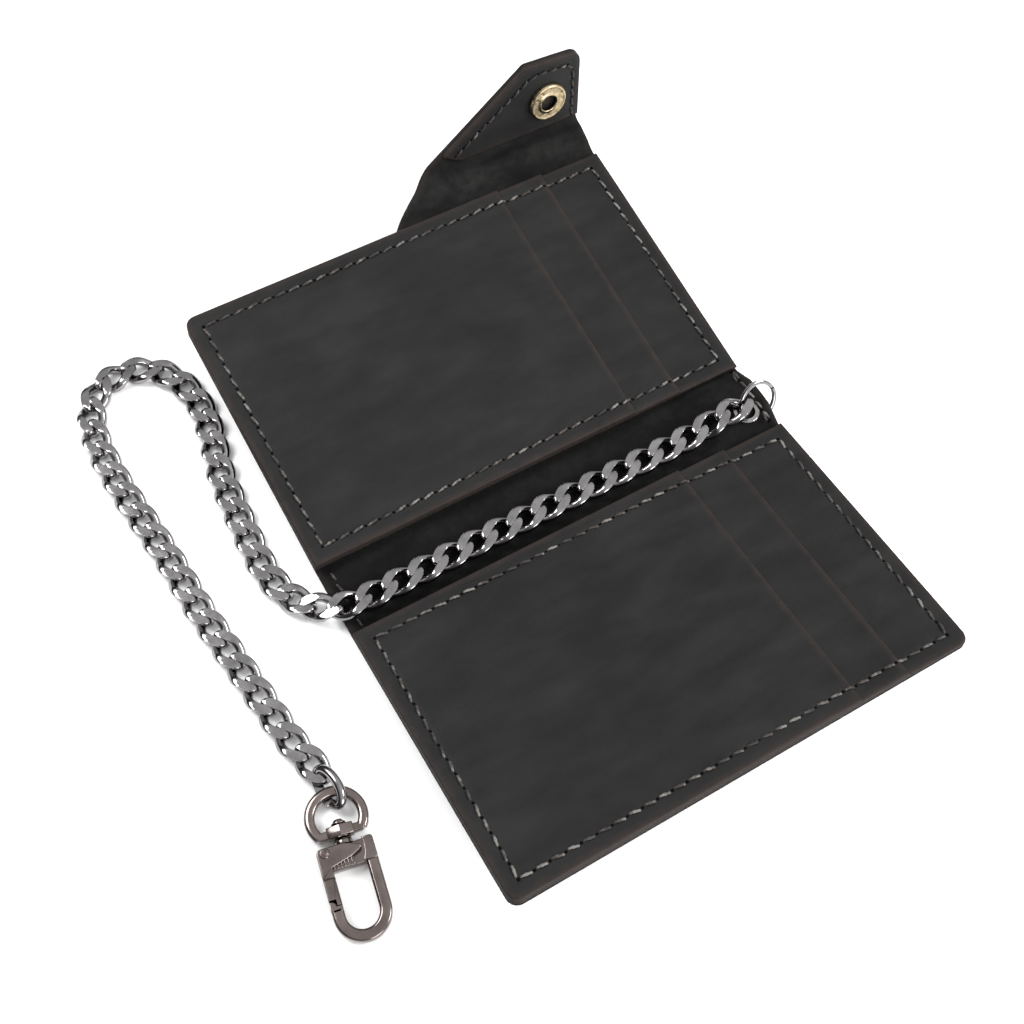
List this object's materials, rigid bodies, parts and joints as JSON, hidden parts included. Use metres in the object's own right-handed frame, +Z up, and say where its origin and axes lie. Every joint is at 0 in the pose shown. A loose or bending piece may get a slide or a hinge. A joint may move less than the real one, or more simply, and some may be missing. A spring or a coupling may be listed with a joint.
{
  "type": "chain wallet",
  "caption": "Bifold leather wallet lying open, with stepped card pockets, a snap tab, an eyelet and ring, and a long curb chain that ends in a swivel clip.",
  "frame": {"origin": "middle of the flat spine's underside, on the surface that the open wallet lies on", "axes": "+X along the spine towards the eyelet and ring, +Y across the open wallet towards the panel with the snap tab, +Z up out of the pockets"},
  "size_m": [0.1507, 0.1692, 0.0386],
  "materials": {
    "leather": "smooth waxed charcoal leather",
    "suede": "matt flesh side of the cover leather",
    "thread": "waxed thread, saddle stitched",
    "black_nickel": "polished black nickel plate",
    "gunmetal": "brownish gunmetal plate, satin",
    "antique_brass": "antique brass, worn bright on the rims"
  },
  "bodies": {
    "spine": {"cover_spine": "suede", "spine_thread_left": "thread", "spine_thread_right": "thread", "eyelet": "black_nickel", "eyelet_washer": "black_nickel", "chain": "black_nickel"},
    "lower_panel": {"cover_lower": "leather", "lower_lining": "leather", "lower_mid_pocket": "leather", "lower_front_pocket": "leather", "lower_thread": "thread", "snap_stud": "antique_brass", "snap_post": "antique_brass"},
    "upper_panel": {"cover_upper": "leather", "upper_lining": "leather", "upper_mid_pocket": "leather", "upper_front_pocket": "leather", "upper_thread": "thread"},
    "tab_strap": {"tab_strap": "suede"},
    "tab_tip": {"tab_tip": "leather", "tab_lining": "leather", "tab_thread": "thread", "snap_socket": "antique_brass", "snap_spring": "black_nickel", "snap_cap": "antique_brass"},
    "jump_ring": {"jump_ring": "black_nickel"},
    "clip_eye": {"clip_eye": "gunmetal"},
    "hook": {"hook_body": "gunmetal", "swivel_rivet": "gunmetal", "gate_pin": "gunmetal", "gate_spring": "black_nickel"},
    "gate": {"gate": "gunmetal"}
  },
  "joints": [
    {"name": "lower_fold", "type": "hinge", "parent": "spine", "child": "lower_panel", "pos_m": [0, -0.0089, 0.0023], "axis": [-1, 0, 0], "range_deg": [-6, 88.9]},
    {"name": "upper_fold", "type": "hinge", "parent": "spine", "child": "upper_panel", "pos_m": [0, 0.0089, 0.0023], "axis": [1, 0, 0], "range_deg": [-8.7, 86.2]},
    {"name": "tab_fold", "type": "hinge", "parent": "upper_panel", "child": "tab_strap", "pos_m": [0, 0.07745, 0.01249], "axis": [1, 0, 0], "range_deg": [-18.5, 66.58]},
    {"name": "tab_tip_fold", "type": "hinge", "parent": "tab_strap", "child": "tab_tip", "pos_m": [0, 0.08723, 0.01751], "axis": [1, 0, 0], "range_deg": [-57.8, 27.28]},
    {"name": "ring_turn", "type": "hinge", "parent": "spine", "child": "jump_ring", "pos_m": [0.0547, -0.00255, 0.00486], "axis": [0, -0.848, 0.5299], "continuous": true},
    {"name": "eye_swing", "type": "hinge", "parent": "spine", "child": "clip_eye", "pos_m": [-0.0774, -0.03751, 0.00215], "axis": [0, 0, 1], "range_deg": [-18, 18]},
    {"name": "hook_swivel", "type": "hinge", "parent": "clip_eye", "child": "hook", "pos_m": [-0.0785, -0.0429, 0.00215], "axis": [-0.1994, -0.9799, 0], "continuous": true},
    {"name": "gate_open", "type": "hinge", "parent": "hook", "child": "gate", "pos_m": [-0.08401, -0.04892, 0.00215], "axis": [0, 0, 1], "range_deg": [0, 20], "stiffness_Nm_per_rad": 0.004, "springref_deg": -17.19}
  ]
}
